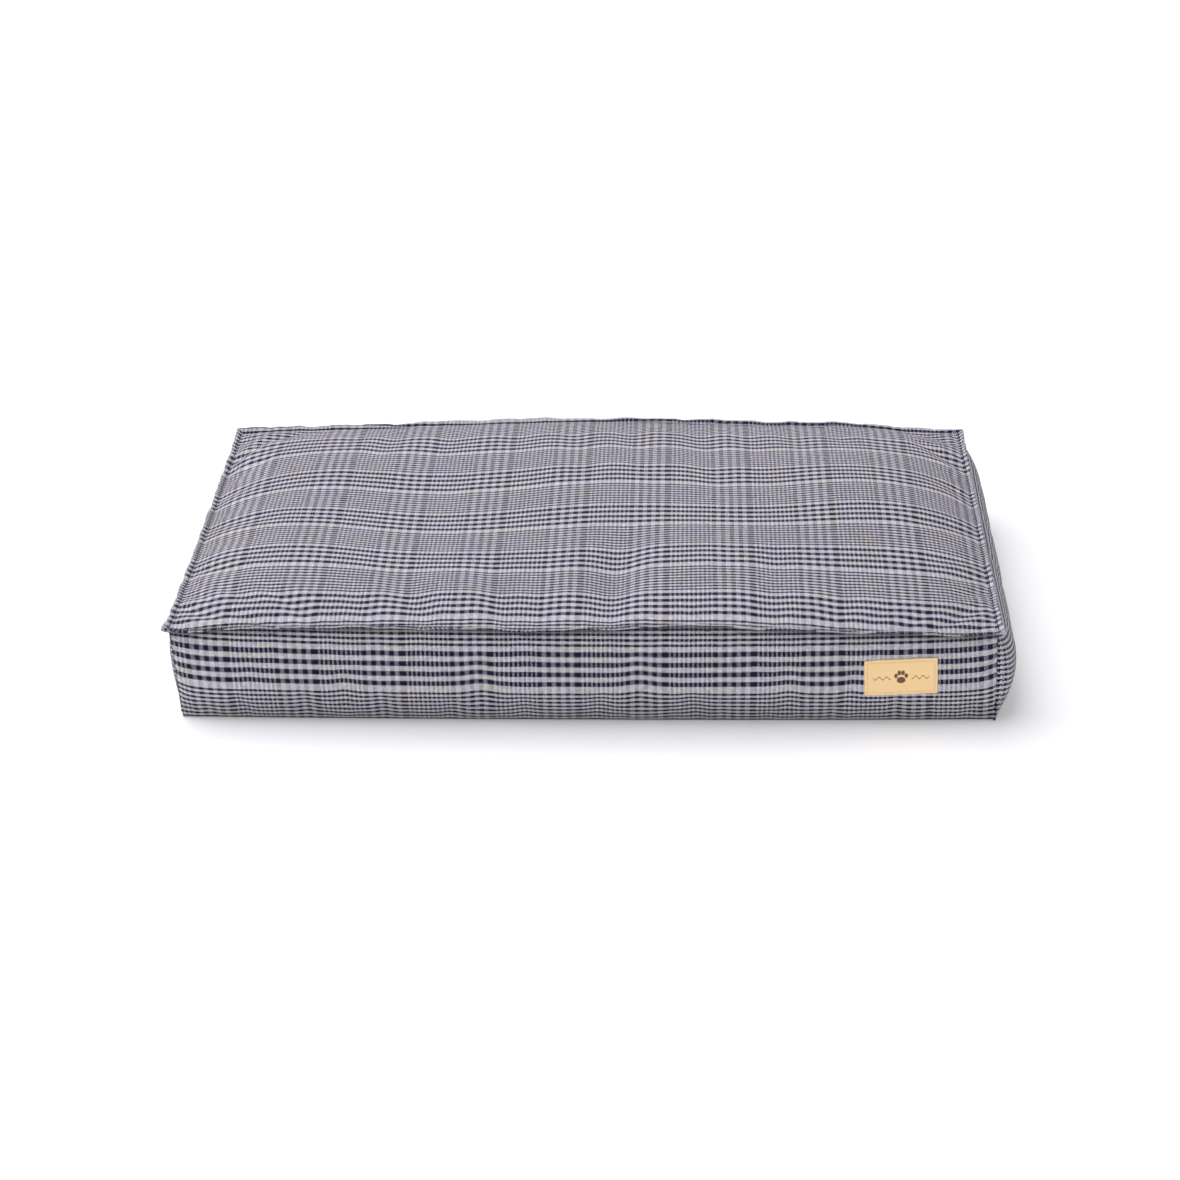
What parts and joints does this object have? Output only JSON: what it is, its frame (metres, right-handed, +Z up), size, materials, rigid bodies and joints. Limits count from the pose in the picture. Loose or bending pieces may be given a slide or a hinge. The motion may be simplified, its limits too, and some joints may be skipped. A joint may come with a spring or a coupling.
{
  "type": "pet cushion bed",
  "caption": "Rectangular boxed pet mattress in plaid cloth with a raised flange seam, a zip across the back wall and a loose fibre pad inside.",
  "frame": {"origin": "centre of the underside, on the face that lies on the floor", "axes": "+X along the bed to the right, +Y to the back wall with the zip, +Z up"},
  "size_m": [0.82, 0.5167, 0.1168],
  "materials": {
    "plaid_cloth": "matte",
    "base_cloth": "matte",
    "navy_thread": "matte",
    "label_cloth": "matte",
    "label_thread": "matte",
    "zip_tape": "matte",
    "zip_coil": "satin",
    "zip_metal": "satin",
    "case_cloth": "matte",
    "fibre": "matte"
  },
  "bodies": {
    "cover": {"top_panel": "plaid_cloth", "front_band": "plaid_cloth", "left_band": "plaid_cloth", "right_band": "plaid_cloth", "back_strip_upper": "plaid_cloth", "back_strip_lower": "plaid_cloth", "back_end_left": "plaid_cloth", "back_end_right": "plaid_cloth", "base_panel": "base_cloth", "flange_thread": "navy_thread", "label_patch": "label_cloth", "label_thread": "label_thread", "zip_tape_upper": "zip_tape", "zip_tape_lower": "zip_tape", "zip_coil_upper": "zip_coil", "zip_coil_lower": "zip_coil", "zip_stop_upper": "zip_metal", "zip_stop_lower": "zip_metal", "zip_bottom_stop": "zip_metal", "pad_case_top": "case_cloth", "pad_case_base": "case_cloth", "pad_case_front": "case_cloth", "pad_case_back": "case_cloth", "pad_case_left": "case_cloth", "pad_case_right": "case_cloth", "fibre_fill": "fibre"},
    "slider": {"zip_slider_body": "zip_metal"},
    "pull": {"zip_pull": "zip_metal"}
  },
  "joints": [
    {"name": "zip_slide", "type": "slide", "parent": "cover", "child": "slider", "axis": [-1, 0, 0], "range_m": [0, 0.627]},
    {"name": "pull_turn", "type": "hinge", "parent": "slider", "child": "pull", "pos_m": [0.3137, 0.2578, 0.0463], "axis": [0, 0, -1], "range_deg": [0, 180]}
  ]
}
